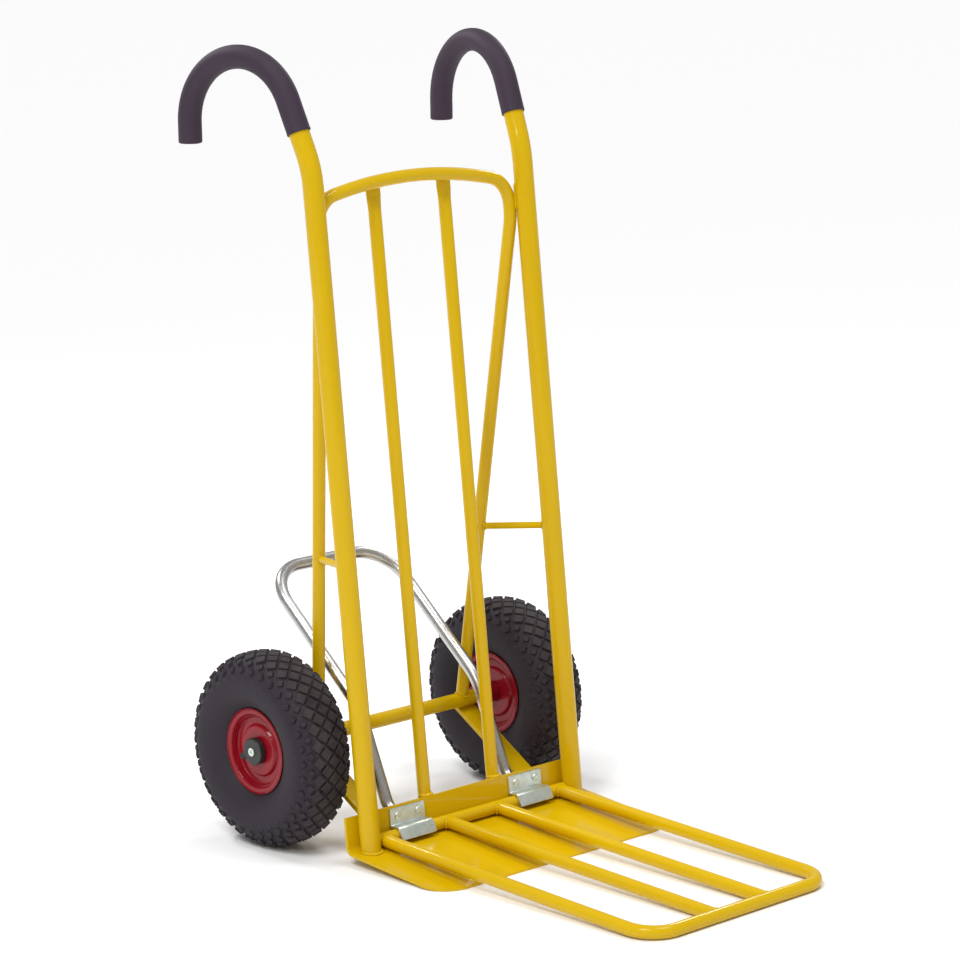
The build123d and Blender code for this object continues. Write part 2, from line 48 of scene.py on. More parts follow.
camera_data.sensor_width = 36.0
camera_data.lens = 126.41
camera_data.clip_end = 60.0
camera = bpy.data.objects.new("camera", camera_data)
camera.matrix_world = (
    Matrix.Translation(camera_spot)
    @ Matrix.Rotation(camera_heading, 4, "Z")
    @ Matrix.Rotation(pi / 2 - camera_drop, 4, "X")
    @ Matrix.Rotation(camera_roll, 4, "Z")
)
bpy.context.scene.collection.objects.link(camera)
bpy.context.scene.camera = camera
bpy.context.scene.view_settings.view_transform = "Standard"


# Toe plate: 4 mm steel sheet with rounded front corners, bent up behind the rails.
# It takes the same yellow powder coat as the welded frame: a thick glossy skin
# with faint orange peel, baked on over the steel.
class Shade:
    """One socket of a material: sums on it add Math nodes, and make() adds any other node."""

    def __init__(self, tree, socket=None):
        self.tree = tree
        self.socket = socket

    def make(self, kind, settings=None, inputs=None, out=0):
        """Adds a node, sets it up, fills or links its inputs and gives one of its outputs."""
        node = self.tree.nodes.new(kind)
        for name, value in (settings or {}).items():
            setattr(node, name, value)
        for name, value in (inputs or {}).items():
            if isinstance(value, Shade):
                self.tree.links.new(value.socket, node.inputs[name])
            else:
                node.inputs[name].default_value = value
        return Shade(self.tree, node.outputs[out])

    def place(self):
        """Where the surface is, in the piece's own coordinates."""
        return self.make("ShaderNodeTexCoord", out="Object")

    def math(self, operation, first, second=0.0):
        return self.make("ShaderNodeMath", {"operation": operation}, {0: first, 1: second})

    def __add__(self, other):
        return self.math("ADD", self, other)

    def __sub__(self, other):
        return self.math("SUBTRACT", self, other)

    def __rsub__(self, other):
        return self.math("SUBTRACT", other, self)

    def __mul__(self, other):
        return self.math("MULTIPLY", self, other)

    __radd__ = __add__
    __rmul__ = __mul__


def new_finish(name, **constants):
    """A material with one Principled shader, its constants set, and a Shade to build on."""
    material = bpy.data.materials.new(name)
    material.use_nodes = True
    shader = material.node_tree.nodes["Principled BSDF"]
    for socket, value in constants.items():
        shader.inputs[socket.replace("_", " ")].default_value = value
    return material, shader, Shade(material.node_tree)


def feed(shader, socket, shade):
    """Links a built value to a socket of the shader."""
    shade.tree.links.new(shade.socket, shader.inputs[socket])


def noise(start, place, scale, detail=3.0, roughness=0.5):
    """Grey noise between 0 and 1 on a coordinate."""
    return start.make(
        "ShaderNodeTexNoise",
        inputs={"Vector": place, "Scale": scale, "Detail": detail, "Roughness": roughness},
    )


def between(start, share, first, second):
    """A colour that goes from the first to the second as share goes from 0 to 1."""
    first_colour, second_colour, mixed_colour = 6, 7, 2
    return start.make(
        "ShaderNodeMix",
        {"data_type": "RGBA", "clamp_factor": True},
        {"Factor": share, first_colour: first, second_colour: second},
        out=mixed_colour,
    )


def ramp(start, value, low, high):
    """A share that climbs from 0 to 1 as the value goes from low to high."""
    return start.make(
        "ShaderNodeMapRange",
        {"interpolation_type": "SMOOTHSTEP"},
        {"Value": value, "From Min": low, "From Max": high},
    )


def bump(start, height, strength, distance):
    """A normal raised by a height."""
    return start.make(
        "ShaderNodeBump", inputs={"Height": height, "Strength": strength, "Distance": distance}
    )


def dress(finish, *names):
    """Gives CAD nodes a finish."""
    for name in names:
        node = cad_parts[name]
        node.data.materials.clear()
        node.data.materials.append(finish)


yellow_deep = (0.605, 0.384, 0.001, 1)
yellow_pale = (0.695, 0.450, 0.002, 1)
yellow, shader, paint = new_finish(
    "yellow_powder_coat", Specular_IOR_Level=0.05, Coat_Weight=0.4, Coat_Roughness=0.03
)
paint_place = paint.place()
paint_drift = noise(paint, paint_place, scale=6.0)
paint_haze = noise(paint, paint_place, scale=60.0, detail=4.0)
paint_peel = noise(paint, paint_place, scale=420.0, detail=2.0)
feed(shader, "Base Color", between(paint, paint_drift, yellow_deep, yellow_pale))
feed(shader, "Roughness", 0.26 + 0.12 * paint_haze)
feed(shader, "Normal", bump(paint, paint_peel + paint_haze, strength=0.06, distance=0.0003))
dress(yellow, "toe_plate")

# Main rails: two steel tubes, each bent back at the top and round into a hooked handle.
# Their feet are welded to the toe plate and their backs to its upstand, under the paint.
rail_x = 0.183
rail_lean = radians(5.5)
rail_floor_y = 0.0932
bead_sides = 8
bead_step = 0.0007
bead_ripple = 0.00042
ripple_share = 0.14
waver_share = 0.16
thin_end = 0.05
dress(yellow, "left_rail", "right_rail")


def leaning(x, off, along):
    """Point given in metres behind the rails' plane and up along it."""
    back = off * cos(rail_lean) + along * sin(rail_lean) + rail_floor_y
    return Vector((x, back, along * cos(rail_lean) - off * sin(rail_lean)))


def start_bead(shape, bead, place):
    """Draws the small circle that a bead is spun from; gives its vertices and edges."""
    ring = bmesh.ops.create_circle(shape, radius=bead, segments=bead_sides, matrix=place)["verts"]
    return ring + list(dict.fromkeys(edge for vert in ring for edge in vert.link_edges))


def tapered(share, power):
    """Thickness of a bead at a share from -1 to 1 of its length, thin at both ends."""
    return thin_end + (1 - thin_end) * max(0.0, 1 - abs(share) ** power)


def weld(shape, centre, axis, toward, radius, bead, sweep=tau, rise=None):
    """Adds a rippled bead round an axis, its middle on one side, lifted along the axis."""
    axis = Vector(axis).normalized()
    toward = Vector(toward)
    toward = (toward - axis * toward.dot(axis)).normalized()
    across = axis.cross(toward)
    radial = Matrix.Rotation(-sweep / 2, 3, axis) @ toward
    turned = Matrix((radial, axis, radial.cross(axis))).transposed().to_4x4()
    old = set(shape.verts)
    ring = start_bead(shape, bead, Matrix.Translation(centre + radial * radius) @ turned)
    whole = sweep >= tau
    bmesh.ops.spin(
        shape, geom=ring, cent=centre, axis=axis, angle=sweep,
        steps=max(10, round(radius * sweep / bead_step)), use_merge=whole,
    )
    for vert in set(shape.verts) - old:
        arm = vert.co - centre
        angle = atan2(arm.dot(across), arm.dot(toward))
        middle = centre + (toward * cos(angle) + across * sin(angle)) * radius
        waver = waver_share * sin(3 + angle * 5) * cos(angle * 3)
        swell = 0.84 + ripple_share * cos(angle * radius / bead_ripple) + waver
        if not whole:
            swell *= tapered(2 * angle / sweep, 6)
        lift = rise(angle) if rise else 0.0
        vert.co = middle + (vert.co - middle) * swell + axis * lift


def seam(shape, start, end, bead):
    """Adds a straight rippled bead between two points."""
    line = end - start
    way = line.normalized()
    steps = max(8, round(line.length / bead_step))
    turned = line.to_track_quat("Z", "Y").to_matrix().to_4x4()
    old = set(shape.verts)
    ring = start_bead(shape, bead, Matrix.Translation(start) @ turned)
    bmesh.ops.spin(
        shape, geom=ring, cent=start, axis=way, dvec=line / steps, angle=0.0, steps=steps
    )
    for vert in set(shape.verts) - old:
        reach = (vert.co - start).dot(way)
        middle = start + way * reach
        swell = 0.86 + ripple_share * cos(reach / bead_ripple)
        swell *= tapered(2 * reach / line.length - 1, 8)
        vert.co = middle + (vert.co - middle) * swell


def finish_piece(name, shape, finish, body, sharp=180.0, closed=True):
    """Makes an object of a shape, with its finish, on the body that carries it."""
    bmesh.ops.remove_doubles(shape, verts=shape.verts, dist=1e-6)
    if closed:
        ends = [edge for edge in shape.edges if edge.is_boundary]
        bmesh.ops.holes_fill(shape, edges=ends, sides=0)
    bmesh.ops.recalc_face_normals(shape, faces=shape.faces)
    mesh = bpy.data.meshes.new(name)
    shape.to_mesh(mesh)
    shape.free()
    mesh.polygons.foreach_set("use_smooth", [True] * len(mesh.polygons))
    if sharp < 180.0:
        mesh.set_sharp_from_angle(angle=radians(sharp))
    mesh.materials.append(finish)
    piece = bpy.data.objects.new(name, mesh)
    bpy.context.scene.collection.objects.link(piece)
    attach(piece, body)
    return piece


rail_axis = leaning(0, 0, 1) - leaning(0, 0, 0)
rail_foot_y = 0.0948
rail_foot_z = 0.0171
foot_weld_dip = 0.0024
back_weld_side = 0.0056
back_weld_off = 0.0122
back_weld_low = 0.032
back_weld_high = 0.0625
rail_welds = bmesh.new()
for side in (-1, 1):
    foot = Vector((side * rail_x, rail_foot_y, rail_foot_z))
    weld(
        rail_welds, foot, rail_axis, toward=(0, -1, 0), radius=0.0143, bead=0.0026,
        sweep=radians(235), rise=lambda angle: -foot_weld_dip * cos(angle),
    )
    for edge in (-1, 1):
        x = side * rail_x + edge * back_weld_side
        low = leaning(x, back_weld_off, back_weld_low)
        high = leaning(x, back_weld_off, back_weld_high)
        seam(rail_welds, low, high, bead=0.0017)
finish_piece("rail_welds", rail_welds, yellow, "frame")

# Grips: moulded rubber sleeves pushed over the hooks, with a rolled lip at the top
# and a rounded end that closes over the tube. They replace the plain CAD sleeves.
grip_dark = (0.033, 0.019, 0.036, 1)
grip_pale = (0.050, 0.031, 0.053, 1)
rubber, shader, foam = new_finish("grip_rubber", Specular_IOR_Level=0.35)
foam_place = foam.place()
foam_cloud = noise(foam, foam_place, scale=14.0)
foam_pores = noise(foam, foam_place, scale=900.0, detail=2.0)
feed(shader, "Base Color", between(foam, foam_cloud, grip_dark, grip_pale))
feed(shader, "Roughness", 0.58 + 0.16 * foam_cloud)
feed(shader, "Normal", bump(foam, foam_pores, strength=0.22, distance=0.0003))


def only(items, kind):
    """The items of one kind, such as vertices or edges."""
    return [item for item in items if isinstance(item, kind)]


def sleeve(shape, rim, spot, way, radius, steps):
    """Grows a round rim along a way by lengths and radii; gives the last rim and its middle."""
    for length, next_radius in steps:
        grown = bmesh.ops.extrude_edge_only(shape, edges=rim)["geom"]
        verts = only(grown, bmesh.types.BMVert)
        rim = only(grown, bmesh.types.BMEdge)
        bmesh.ops.translate(shape, verts=verts, vec=way * length)
        spot = spot + way * length
        size = next_radius / radius
        middle = Matrix.Translation(-spot)
        bmesh.ops.scale(shape, verts=verts, vec=(size, size, size), space=middle)
        radius = next_radius
    return rim, spot


kink_along = 0.897
hook_splay = radians(10.6)
hook_lean = radians(22.7)
hook_turn = pi - hook_lean
hook_rise = 0.0925
hook_radius = 0.086
grip_start = 0.049
grip_bore = 0.01355
grip_radius = 0.0155
grip_sides = 40
grip_rings = 6
grip_bend_rings = 72
# Each step of the lip and of the end: how far along, and the radius there
grip_lip = (
    (0.0, 0.0145), (-0.0004, 0.0150), (0.0005, 0.0156), (0.0012, 0.01575), (0.0014, 0.0156),
    (0.0010, grip_radius),
)
grip_end = (
    (0.0125, grip_radius), (0.0125, grip_radius), (0.0010, 0.0153), (0.0009, 0.0146),
    (0.0006, 0.0135), (0.0003, 0.0120), (0.0001, 0.0060),
)
up = Vector((0, 0, 1))
hook_level = Vector((sin(hook_splay), cos(hook_splay), 0))
hook_axis = Vector((cos(hook_splay), -sin(hook_splay), 0))
hook_way = hook_level * sin(hook_lean) + up * cos(hook_lean)
hook_inward = hook_level * cos(hook_lean) - up * sin(hook_lean)
hook_kink = leaning(rail_x, 0, kink_along)
for side, name in ((1, "right_grip"), (-1, "left_grip")):
    shape = bmesh.new()
    spot = hook_kink + hook_way * grip_start
    turned = Matrix((hook_axis, hook_inward, hook_way)).transposed().to_4x4()
    bmesh.ops.create_circle(
        shape, radius=grip_bore, segments=grip_sides, matrix=Matrix.Translation(spot) @ turned
    )
    rim, spot = sleeve(shape, list(shape.edges), spot, hook_way, grip_bore, grip_lip)
    ring_length = (hook_kink + hook_way * hook_rise - spot).length / grip_rings
    straight = [(ring_length, grip_radius)] * grip_rings
    rim, spot = sleeve(shape, rim, spot, hook_way, grip_radius, straight)
    pivot = spot + hook_inward * hook_radius
    rim_verts = list(dict.fromkeys(vert for edge in rim for vert in edge.verts))
    bent = bmesh.ops.spin(
        shape, geom=rim + rim_verts, cent=pivot, axis=hook_axis, angle=-hook_turn,
        steps=grip_bend_rings,
    )["geom_last"]
    rim = only(bent, bmesh.types.BMEdge)
    spot = pivot + Matrix.Rotation(-hook_turn, 3, hook_axis) @ (spot - pivot)
    rim, spot = sleeve(shape, rim, spot, -up, grip_radius, grip_end)
    bmesh.ops.contextual_create(shape, geom=rim)
    bmesh.ops.scale(shape, verts=shape.verts, vec=(side, 1, 1))
    grip = finish_piece(f"{name}_rubber", shape, rubber, "frame")
    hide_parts(name)

# Rear hoop: one thinner tube arched at the top, welded to both rails under its corners
# and standing with coped feet on the axle.
axle_y = 0.2582
axle_z = 0.130
axle_reach = 0.0101
hoop_radius = 0.0086
hoop_foot_x = 0.1296
hoop_top_x = 0.16723
hoop_top_off = 0.01555
hoop_top_along = 0.805
hoop_seam_low = 0.815
hoop_seam_high = 0.851
hoop_seams = ((0.1709, 0.0070), (0.1759, 0.0120))
hoop_weld_lift = 0.0004
dress(yellow, "rear_hoop")


def hoop_saddle(angle):
    """How far the bead round a coped foot rises up the axle at an angle."""
    return sqrt(axle_reach**2 - (hoop_radius * cos(angle)) ** 2) + hoop_weld_lift


hoop_welds = bmesh.new()
for side in (-1, 1):
    for x, off in hoop_seams:
        low = leaning(side * x, off, hoop_seam_low)
        high = leaning(side * x, off, hoop_seam_high)
        seam(hoop_welds, low, high, bead=0.0018)
    foot = Vector((side * hoop_foot_x, axle_y, axle_z))
    leg = leaning(side * hoop_top_x, hoop_top_off, hoop_top_along) - foot
    weld(
        hoop_welds, foot, leg, toward=(0, -1, 0), radius=0.0090, bead=0.0016,
        rise=hoop_saddle,
    )
finish_piece("hoop_welds", hoop_welds, yellow, "frame")

# Inner bars: two round tubes behind the upstand, pressed flat at the top behind the arch.
# Their feet are welded along the upstand's top edge and their flats to the arch.
bar_x = 0.0614
bar_off = 0.02625
bar_weld_along = 0.0640
bar_flat_half = 0.011
bar_flat_off = 0.0236
bar_flat_low = 0.8666
bar_flat_high = 0.8796
dress(yellow, "left_inner_bar", "right_inner_bar")
bar_welds = bmesh.new()
for side in (-1, 1):
    spot = leaning(side * bar_x, bar_off, bar_weld_along)
    weld(
        bar_welds, spot, rail_axis, toward=(0, -1, 0), radius=0.0096, bead=0.0030,
        sweep=radians(205),
    )
    for edge in (-1, 1):
        x = side * bar_x + edge * bar_flat_half
        low = leaning(x, bar_flat_off, bar_flat_low)
        high = leaning(x, bar_flat_off, bar_flat_high)
        seam(bar_welds, low, high, bead=0.0015)
finish_piece("bar_welds", bar_welds, yellow, "frame")

# Tie rods: short round rods between each rail and the hoop's leg behind it,
# coped at both ends and welded all round.
rod_along = 0.388
rod_back_x = 0.14345
rod_back_y = 0.23157
rod_back_z = 0.37648
rod_front_gap = 0.0138
rod_back_gap = 0.0090
rod_weld_radius = 0.0048
rod_weld_bead = 0.0013
dress(yellow, "left_tie_rod", "right_tie_rod")
rod_welds = bmesh.new()
for side in (-1, 1):
    front = leaning(side * rail_x, 0, rod_along)
    back = Vector((side * rod_back_x, rod_back_y, rod_back_z))
    way = (back - front).normalized()
    for spot in (front + way * rod_front_gap, back - way * rod_back_gap):
        weld(rod_welds, spot, way, up, rod_weld_radius, rod_weld_bead)
finish_piece("rod_welds", rod_welds, yellow, "frame")

# Struts and axle: flat bars welded under the axle and to the back of the sheet's bend,
# and a solid axle that carries both wheels.
strut_slope = radians(31.3)
strut_near = 0.126
strut_far = 0.152
strut_weld_half = 0.0047
strut_weld_lift = 0.0010
strut_weld_bead = 0.0018
strut_foot_off = 0.0185
strut_foot_along = 0.0345
dress(yellow, "left_strut", "right_strut", "axle")
strut_welds = bmesh.new()
strut_way = Vector((0, cos(strut_slope), sin(strut_slope)))
strut_up = Vector((0, -sin(strut_slope), cos(strut_slope)))
strut_touch = Vector((0, axle_y, axle_z)) - strut_up * axle_reach
for side in (-1, 1):
    near = Vector((side * strut_near, 0, 0))
    far = Vector((side * strut_far, 0, 0))
    for place in (-strut_weld_half, strut_weld_half):
        spot = strut_touch + strut_way * place + strut_up * strut_weld_lift
        seam(strut_welds, spot + near, spot + far, strut_weld_bead)
    foot = leaning(0, strut_foot_off, strut_foot_along)
    seam(strut_welds, foot + near, foot + far, strut_weld_bead)
finish_piece("strut_welds", strut_welds, yellow, "frame")

# Tyres: moulded rubber with square blocks set on the diagonal, cut away to smooth walls
# over the shoulders. One pitch of the tread is shaped flat, wrapped and spun round.
# Their sizes are in millimetres.
tread_dark = (0.019, 0.014, 0.021, 1)
tread_pale = (0.032, 0.025, 0.034, 1)
tread_dusty = (0.052, 0.043, 0.039, 1)
tyre_rubber, shader, tread = new_finish("tyre_rubber", Specular_IOR_Level=0.3)
tread_place = tread.place()
tread_back = tread.make("ShaderNodeSeparateXYZ", inputs={"Vector": tread_place}, out="Y") - axle_y
tread_up = tread.make("ShaderNodeSeparateXYZ", inputs={"Vector": tread_place}, out="Z") - axle_z
tread_reach = tread.math("SQRT", tread_back * tread_back + tread_up * tread_up)
tread_top = ramp(tread, tread_reach, low=0.1165, high=0.1285)
tread_cloud = noise(tread, tread_place, scale=45.0, detail=5.0, roughness=0.6)
tread_fine = noise(tread, tread_place, scale=650.0)
tread_dust = tread_top * ramp(tread, tread_cloud, low=0.30, high=0.75)
tread_base = between(tread, tread_cloud, tread_dark, tread_pale)
feed(shader, "Base Color", between(tread, 0.85 * tread_dust, tread_base, tread_dusty))
feed(shader, "Roughness", 0.56 + 0.22 * tread_cloud)
tread_grain = tread_fine + 1.5 * tread_cloud
feed(shader, "Normal", bump(tread, tread_grain, strength=0.25, distance=0.0005))

tyre_half = 42.5
tyre_radius = 130.0
widest_radius = 92.8
crown_fullness = 0.784
crown_steps = 60
wall_radius = 44.82
wall_turn = radians(49.2)
wall_steps = 24
tyre_line = []
for step in range(crown_steps + 1):
    turn = pi / 2 * step / crown_steps
    rise = (tyre_radius - widest_radius) * max(0.0, cos(turn)) ** crown_fullness
    tyre_line.append((tyre_half * sin(turn) ** crown_fullness, widest_radius + rise))
for step in range(1, wall_steps + 1):
    turn = wall_turn * step / wall_steps
    x = tyre_half - wall_radius * (1 - cos(turn))
    tyre_line.append((x, widest_radius - wall_radius * sin(turn)))
tyre_bead = [(25.5, 55.9), (25.5, 51.6), (24.6, 50.9), (14.0, 50.9), (14.0, 53.0)]
tyre_inside = [(21.0, 60.9), (33.0, 72.0), (38.0, 92.8), (33.0, 110.0), (20.0, 118.0), (0.0, 119.5)]
tyre_line += tyre_bead + tyre_inside
tyre_runs = [0.0]
for first, second in zip(tyre_line, tyre_line[1:]):
    tyre_runs.append(tyre_runs[-1] + hypot(second[0] - first[0], second[1] - first[1]))


def on_tyre(run, depth):
    """Point of the tyre's section at a length from the crown's middle, sunk by a depth."""
    index = min(max(bisect_left(tyre_runs, run), 1), len(tyre_runs) - 1)
    (x, radius), (next_x, next_radius) = tyre_line[index - 1], tyre_line[index]
    span = tyre_runs[index] - tyre_runs[index - 1]
    x_slope = (next_x - x) / span
    radius_slope = (next_radius - radius) / span
    reach = run - tyre_runs[index - 1]
    x += x_slope * reach + radius_slope * depth
    return x, radius + radius_slope * reach - x_slope * depth


blocks = 35
pitch = tau * tyre_radius / blocks
grid_cells = 10
shoulder_run = 29.0
crown_groove_half = 1.2
shoulder_groove_half = 3.9
tread_edge = 58.0
tread_fade = 12.0
tread_depth = 3.4
cut_shift = 0.8
tread_sharp = 38.0
# Two steps up a block's flank: how far in, and the share of the height
block_flanks = ((0.5, 0.75), (0.55, 0.25))
shape = bmesh.new()
bmesh.ops.create_grid(
    shape, x_segments=grid_cells, y_segments=grid_cells, size=grid_cells * pitch / sqrt(8),
    matrix=Matrix.Rotation(pi / 4, 4, "Z"),
)
crown = [face for face in shape.faces if abs(face.calc_center_median().x) < shoulder_run]
shoulder = [face for face in shape.faces if abs(face.calc_center_median().x) >= shoulder_run]
for faces, gap in ((crown, crown_groove_half), (shoulder, shoulder_groove_half)):
    bmesh.ops.inset_individual(shape, faces=faces, thickness=gap, depth=0.0, use_even_offset=True)
for flank, height in block_flanks:
    bmesh.ops.inset_individual(
        shape, faces=crown + shoulder, thickness=flank, depth=height, use_even_offset=True
    )
cuts = (
    ((0, cut_shift, 0), (0, -1, 0)),
    ((0, cut_shift + pitch, 0), (0, 1, 0)),
    ((tread_edge, 0, 0), (1, 0, 0)),
    ((-tread_edge, 0, 0), (-1, 0, 0)),
)
for spot, way in cuts:
    geom = list(shape.verts) + list(shape.edges) + list(shape.faces)
    bmesh.ops.bisect_plane(
        shape, geom=geom, dist=1e-4, plane_co=spot, plane_no=way, clear_outer=True
    )
# The walls take every fourth ring of the line, the beads and the inside take all
past_tread = [run for run in tyre_runs if run > tread_edge + 1.5]
bead_rings = len(tyre_bead) + len(tyre_inside) + 3
wall_runs = sorted(set(past_tread[2::4] + past_tread[-bead_rings:]))
for side in (-1, 1):
    rim = [
        edge for edge in shape.edges
        if edge.is_boundary
        and all(abs(vert.co.x - side * tread_edge) < 1e-3 for vert in edge.verts)
    ]
    for run in wall_runs:
        grown = bmesh.ops.extrude_edge_only(shape, edges=rim)["geom"]
        for vert in only(grown, bmesh.types.BMVert):
            vert.co.x = side * run
            vert.co.z = 1.0
        rim = only(grown, bmesh.types.BMEdge)
wheel_x = 0.2113
wheel_centre = Vector((wheel_x, axle_y, axle_z))
for vert in shape.verts:
    run = abs(vert.co.x)
    fade = max(0.0, min(1.0, (tread_edge - run) / tread_fade))
    x, radius = on_tyre(run, tread_depth * fade * (1.0 - min(1.0, vert.co.z)))
    x = x if vert.co.x >= 0 else -x
    turn = vert.co.y / tyre_radius
    vert.co = wheel_centre + Vector((x, -radius * sin(turn), radius * cos(turn))) / 1000
bmesh.ops.spin(
    shape, geom=list(shape.verts) + list(shape.edges) + list(shape.faces), cent=wheel_centre,
    axis=(1, 0, 0), angle=tau * (blocks - 1) / blocks, steps=blocks - 1, use_duplicate=True,
)
bmesh.ops.remove_doubles(shape, verts=shape.verts, dist=2e-5)
other = shape.copy()
bmesh.ops.translate(other, verts=other.verts, vec=(-2 * wheel_x, 0, 0))
for name, mesh in (("right", shape), ("left", other)):
    tyre = finish_piece(
        f"{name}_block_tyre", mesh, tyre_rubber, f"{name}_wheel", tread_sharp
    )
    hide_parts(f"{name}_tyre")
    dress(tyre_rubber, f"{name}_inner_tube")

# Rims: rolled band and two pressed discs round a hub tube, welded and sprayed glossy red.
# The spray also covers the ends of the bearings, the spacers and the washers.
red_deep = (0.21, 0.004, 0.010, 1)
red_pale = (0.31, 0.006, 0.016, 1)
red, shader, gloss = new_finish(
    "red_gloss_paint", Specular_IOR_Level=0.1, Coat_Weight=0.4, Coat_Roughness=0.04
)
gloss_place = gloss.place()
gloss_cloud = noise(gloss, gloss_place, scale=24.0, detail=4.0)
gloss_peel = noise(gloss, gloss_place, scale=360.0, detail=2.0)
feed(shader, "Base Color", between(gloss, gloss_cloud, red_deep, red_pale))
feed(shader, "Roughness", 0.26 + 0.14 * gloss_cloud)
feed(shader, "Normal", bump(gloss, gloss_peel + gloss_cloud, strength=0.08, distance=0.0004))
for name in ("left", "right"):
    dress(red, f"{name}_rim_band", f"{name}_outer_disc", f"{name}_inner_disc")
    dress(red, f"{name}_hub", f"{name}_bearings")
dress(red, "axle_spacers", "axle_washers")

# Valves and hub caps: a rubber stem with a ribbed screw cap that leans out of each outer
# disc, and black moulded cups pressed over the axle ends, each held by a zinc plated
# screw with a ring-shaped head.
black_deep = (0.012, 0.016, 0.015, 1)
black_pale = (0.024, 0.029, 0.028, 1)
plastic, shader, mould = new_finish("black_plastic")
mould_place = mould.place()
mould_cloud = noise(mould, mould_place, scale=70.0, detail=4.0)
mould_grain = noise(mould, mould_place, scale=1100.0, detail=2.0)
feed(shader, "Base Color", between(mould, mould_cloud, black_deep, black_pale))
feed(shader, "Roughness", 0.36 + 0.18 * mould_cloud)
feed(shader, "Normal", bump(mould, mould_grain, strength=0.16, distance=0.0002))
dress(plastic, "left_hub_cap", "right_hub_cap")

zinc_green = (0.47, 0.56, 0.54, 1)
zinc_straw = (0.62, 0.68, 0.58, 1)
zinc_bright = (0.78, 0.83, 0.80, 1)
zinc, shader, plate = new_finish("zinc_plating", Metallic=0.72)
plate_place = plate.place()
plate_cells = plate.make(
    "ShaderNodeTexVoronoi", {"feature": "SMOOTH_F1"},
    {"Vector": plate_place, "Scale": 130.0, "Smoothness": 0.6},
)
plate_cloud = noise(plate, plate_place, scale=38.0, detail=4.0)
plate_fine = noise(plate, plate_place, scale=700.0, detail=2.0)
plate_tone = between(plate, plate_cloud, zinc_green, zinc_straw)
feed(shader, "Base Color", between(plate, 0.8 * plate_cells, plate_tone, zinc_bright))
feed(shader, "Roughness", 0.20 + 0.18 * plate_cloud)
feed(shader, "Normal", bump(plate, plate_fine + plate_cells, strength=0.06, distance=0.0004))
dress(zinc, "cap_screws")

stem_radius = 0.004
stem_length = 0.0232
stem_sides = 24
cap_foot_radius = 0.0048
cap_top_radius = 0.0044
cap_length = 0.0100
cap_sides = 32
cap_ease = 0.0012
rib_edge = 0.00015
rib_depth = 0.0005
valve_turn = radians(-113)
valve_out = 0.002
valve_reach = 0.0492
valve_lean = radians(131)
valve_sharp = 35.0
for side, name in ((1, "right"), (-1, "left")):
    shape = bmesh.new()
    bmesh.ops.create_cone(
        shape, cap_ends=True, segments=stem_sides, radius1=stem_radius, radius2=stem_radius,
        depth=stem_length, matrix=Matrix.Translation((0, 0, stem_length / 2)),
    )
    bmesh.ops.create_cone(
        shape, cap_ends=True, segments=cap_sides, radius1=cap_foot_radius, radius2=cap_top_radius,
        depth=cap_length, matrix=Matrix.Translation((0, 0, stem_length + cap_length / 2)),
    )
    near_top = stem_length + cap_length * 0.98
    rims = [edge for edge in shape.edges if all(vert.co.z > near_top for vert in edge.verts)]
    bmesh.ops.bevel(
        shape, geom=rims, offset=cap_ease, segments=3, profile=0.5, affect="EDGES", material=-1
    )
    ribs = [
        face for face in shape.faces
        if len(face.verts) == 4 and abs(face.normal.z) < 0.3
        and face.calc_center_median().z > stem_length
    ]
    bmesh.ops.inset_individual(shape, faces=ribs[::2], thickness=rib_edge, depth=-rib_depth)
    place = (
        Matrix.Translation(wheel_centre) @ Matrix.Rotation(valve_turn, 4, "X")
        @ Matrix.Translation((valve_out, 0, valve_reach)) @ Matrix.Rotation(valve_lean, 4, "Y")
    )
    bmesh.ops.transform(shape, matrix=place, verts=shape.verts)
    bmesh.ops.scale(shape, verts=shape.verts, vec=(side, 1, 1))
    valve = finish_piece(
        f"{name}_ribbed_valve", shape, plastic, f"{name}_wheel", valve_sharp
    )
    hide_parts(f"{name}_valve")

# Hinge brackets: zinc plated strips folded over the toe's cross tube and bolted to the
# upstand. They replace the CAD strips, with rounder folds and eased edges.
bracket_x = 0.1065
bracket_width = 0.060
bracket_wall = 0.003
bracket_corner = 0.0022
bracket_bend = 0.0028
bracket_ease = 0.0004
bracket_sharp = 38.0
# Points of the fold, off the rails' plane and up along it, from the leaf's top to the lip
bracket_line = (
    (0.01195, 0.0609), (0.01195, 0.0374), (-0.00297, 0.0374), (-0.01009, 0.0214),
)
for side, name in ((-1, "left_hinge_bracket"), (1, "right_hinge_bracket")):
    shape = bmesh.new()
    near = side * bracket_x - bracket_width / 2
    line = [shape.verts.new(leaning(near, off, along)) for off, along in bracket_line]
    fold = [shape.edges.new(pair) for pair in zip(line, line[1:])]
    grown = bmesh.ops.extrude_edge_only(shape, edges=fold)["geom"]
    moved = only(grown, bmesh.types.BMVert)
    bmesh.ops.translate(shape, verts=moved, vec=(bracket_width, 0, 0))
    inner = [edge for edge in shape.edges if not edge.is_boundary]
    front_bend, back_bend = sorted(inner, key=lambda edge: edge.verts[0].co.y)
    corners = [vert for vert in shape.verts if len(vert.link_faces) == 1]
    bmesh.ops.bevel(
        shape, geom=corners, offset=bracket_corner, segments=3, profile=0.5, affect="VERTICES",
        material=-1,
    )
    for bend, segments in ((front_bend, 8), (back_bend, 6)):
        bmesh.ops.bevel(
            shape, geom=[bend], offset=bracket_bend, segments=segments, profile=0.5,
            affect="EDGES", material=-1,
        )
    bracket = finish_piece(
        f"{name}_folded", shape, zinc, "frame", bracket_sharp, closed=False
    )
    wall = bracket.modifiers.new("wall", "SOLIDIFY")
    wall.thickness = bracket_wall
    wall.offset = 0.0
    ease = bracket.modifiers.new("ease", "BEVEL")
    ease.width = bracket_ease
    ease.segments = 2
    ease.limit_method = "ANGLE"
    ease.angle_limit = radians(50)
    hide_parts(name)
